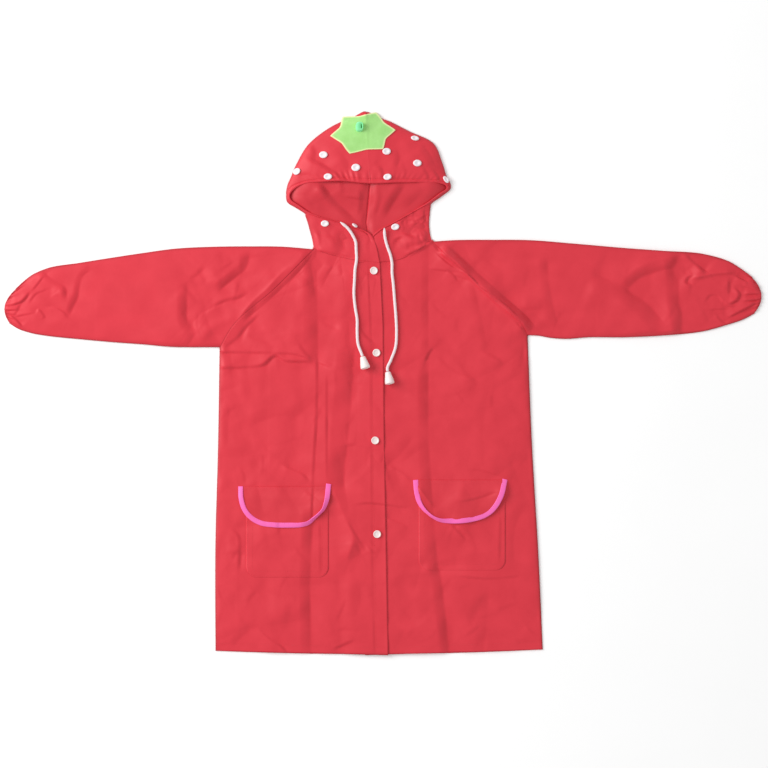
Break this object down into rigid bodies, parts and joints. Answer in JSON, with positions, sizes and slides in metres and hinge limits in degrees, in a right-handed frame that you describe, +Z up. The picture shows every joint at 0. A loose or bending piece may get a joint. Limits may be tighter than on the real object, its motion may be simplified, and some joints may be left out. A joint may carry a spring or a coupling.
{
  "type": "child's hooded raincoat",
  "caption": "Child's red hooded raincoat with a strawberry hood, laid flat and snapped shut, with long gathered sleeves, flap pockets and a drawcord.",
  "frame": {"origin": "on the table, at the middle of the laid-out coat's footprint", "axes": "+X towards the wearer's left sleeve, along the spread of the sleeves; +Y from the hem towards the hood; +Z up out of the table"},
  "size_m": [1.1728, 0.8432, 0.0313],
  "materials": {
    "shell_fabric": "thin coated nylon with a soft sheen and package creases",
    "leaf_fabric": "light green felt-like fabric with a pale cut edge",
    "stem_fabric": "mint green fabric tab",
    "snap_plastic": "white moulded snap cap",
    "seed_plastic": "white raised oval seed",
    "cord_fabric": "white braided cord",
    "cord_end_plastic": "white bell-shaped cord end",
    "binding_tape": "pink satin bias tape"
  },
  "bodies": {
    "root": {"back_panel": "shell_fabric", "right_front": "shell_fabric", "left_front": "shell_fabric", "right_sleeve": "shell_fabric", "left_sleeve": "shell_fabric", "right_cuff": "shell_fabric", "left_cuff": "shell_fabric", "hood_right": "shell_fabric", "hood_left": "shell_fabric", "right_pocket": "shell_fabric", "left_pocket": "shell_fabric", "right_pocket_flap": "shell_fabric", "left_pocket_flap": "shell_fabric", "right_flap_binding": "binding_tape", "left_flap_binding": "binding_tape", "calyx": "leaf_fabric", "stem": "stem_fabric", "snap_1": "snap_plastic", "snap_2": "snap_plastic", "snap_3": "snap_plastic", "snap_4": "snap_plastic", "seed_01": "seed_plastic", "seed_02": "seed_plastic", "seed_03": "seed_plastic", "seed_04": "seed_plastic", "seed_05": "seed_plastic", "seed_06": "seed_plastic", "seed_07": "seed_plastic", "seed_08": "seed_plastic", "seed_09": "seed_plastic", "seed_10": "seed_plastic", "seed_11": "seed_plastic", "right_drawcord": "cord_fabric", "right_cord_end": "cord_end_plastic", "left_drawcord": "cord_fabric", "left_cord_end": "cord_end_plastic"}
  },
  "joints": []
}
